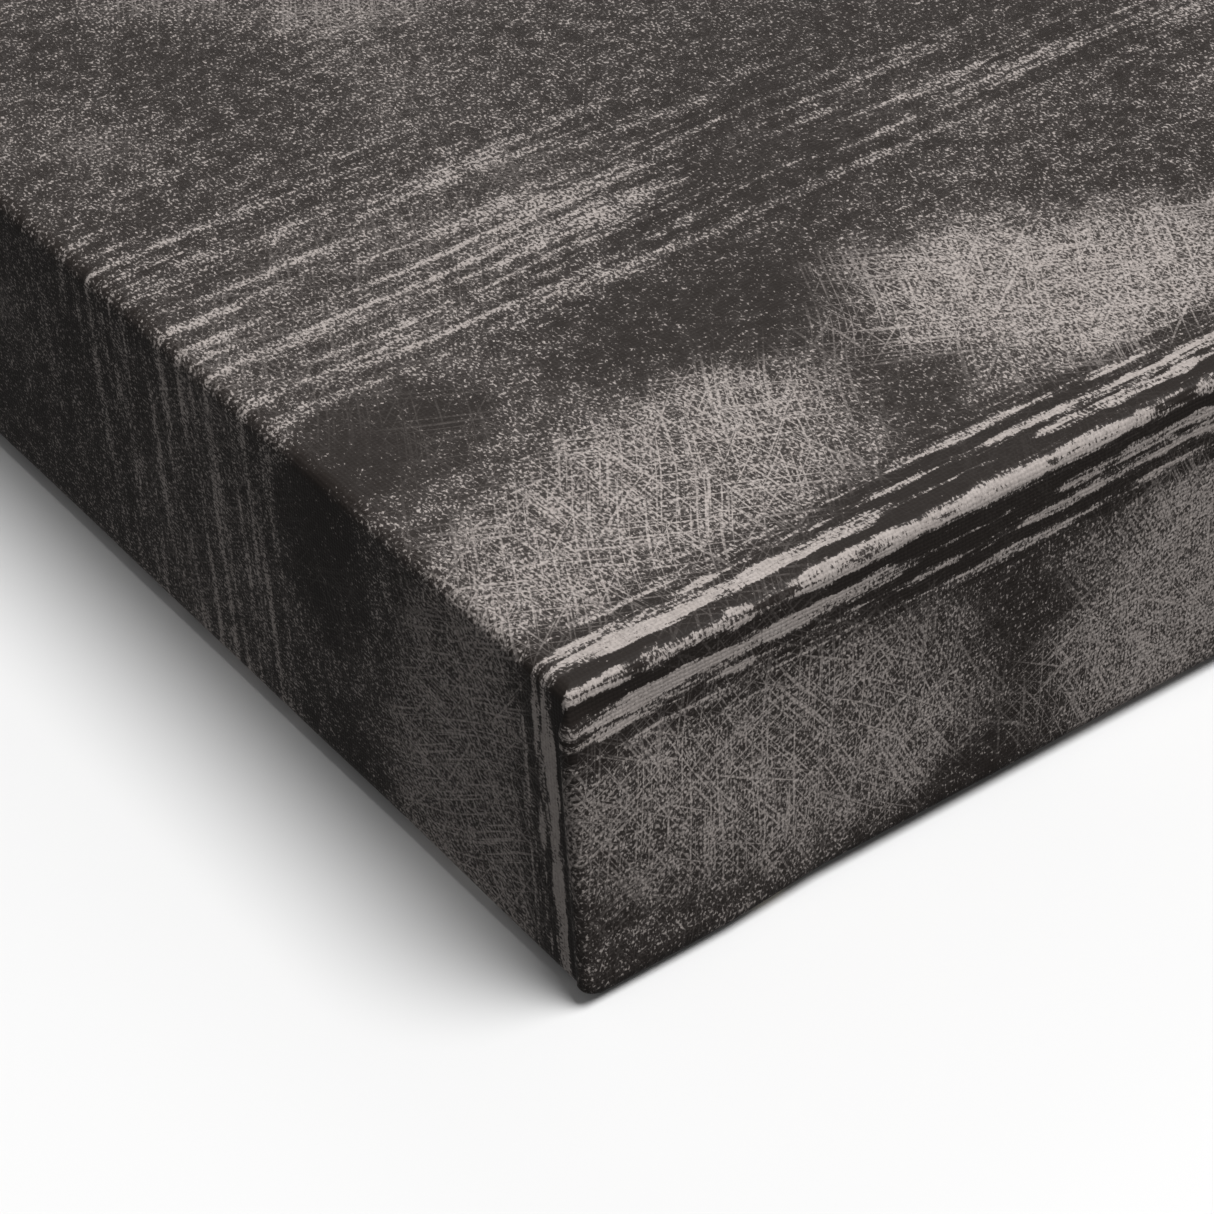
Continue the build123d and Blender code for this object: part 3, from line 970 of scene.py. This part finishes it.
def add_area_light(name, place, size, power):
    """A round light that faces the middle of the object."""
    light = bpy.data.lights.new(name, "AREA")
    light.shape = "DISK"
    light.size = size
    light.energy = power
    lamp = bpy.data.objects.new(name, light)
    lamp.location = place
    lamp.rotation_euler = (Vector(ORIGIN) - Vector(place)).to_track_quat("-Z", "Y").to_euler()
    bpy.context.scene.collection.objects.link(lamp)


def add_floor():
    """A pale floor. Its own light doesn't wash back over the dark cloth."""
    bpy.ops.mesh.primitive_plane_add(size=FLOOR_SIZE, location=ORIGIN)
    floor = bpy.context.active_object
    floor.name = "floor"
    graph = Graph("studio_floor")
    spread = graph.noise(graph.place(), 0.002, 2.0)
    graph.set("Base Color", graph.mix(spread, FLOOR_DIM, FLOOR_BRIGHT))
    graph.shader.inputs["Roughness"].default_value = 0.9
    graph.shader.inputs["Specular IOR Level"].default_value = 0.05
    floor.data.materials.append(graph.material)
    floor.visible_diffuse = False
    floor.visible_glossy = False


def add_lights():
    add_area_light("key", place=(0.40, -0.98, 2.38), size=1.45, power=77.0)
    add_area_light("back", place=(0.9, 1.5, 1.1), size=1.0, power=5.0)
    world = bpy.data.worlds.new("studio")
    world.use_nodes = True
    background = world.node_tree.nodes["Background"]
    background.inputs["Color"].default_value = WHITE
    background.inputs["Strength"].default_value = WORLD_LIGHT
    bpy.context.scene.world = world
    bpy.context.scene.view_settings.view_transform = "Standard"


# ---------------------------------------------------------------- the whole

add_camera()
add_floor()
add_lights()

sheet = build_sheet()
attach(sheet, "frame")
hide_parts("canvas")

PINE_PALE = colour(0.72, 0.52, 0.29)
PINE_DARK = colour(0.52, 0.31, 0.13)
BEECH_PALE = colour(0.60, 0.38, 0.22)
BEECH_DARK = colour(0.44, 0.25, 0.13)
STAPLE = metal("staple_steel", colour(0.62, 0.62, 0.62), colour(0.42, 0.42, 0.43), 0.26, 0.25)
NICKEL = metal("hanger_nickel", colour(0.72, 0.69, 0.63), colour(0.58, 0.55, 0.50), 0.14, 0.20)
ZINC = metal("screw_zinc", colour(0.66, 0.62, 0.50), colour(0.48, 0.46, 0.42), 0.22, 0.25)
METALS = {"staples": STAPLE, "ring": NICKEL, "strap": NICKEL, "screw": ZINC}
PINE_RINGS = 0.16
BEECH_RINGS = 0.5


def node_material(node, number):
    """A bar's grain runs along it, and a key's across the bar that it sits in."""
    kind, _, rest = node.partition("_")
    side = rest.split("_")[0]
    upright = side in ("left", "right")
    if kind == "bar":
        return wood(f"pine_{side}", PINE_PALE, PINE_DARK, PINE_RINGS, "y" if upright else "x", number)
    if kind == "key":
        return wood(node, BEECH_PALE, BEECH_DARK, BEECH_RINGS, "x" if upright else "y", number)
    return METALS[kind]


for number, (node, piece) in enumerate(sorted(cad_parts.items())):
    if node != "canvas":
        piece.data.materials.clear()
        piece.data.materials.append(node_material(node, number))
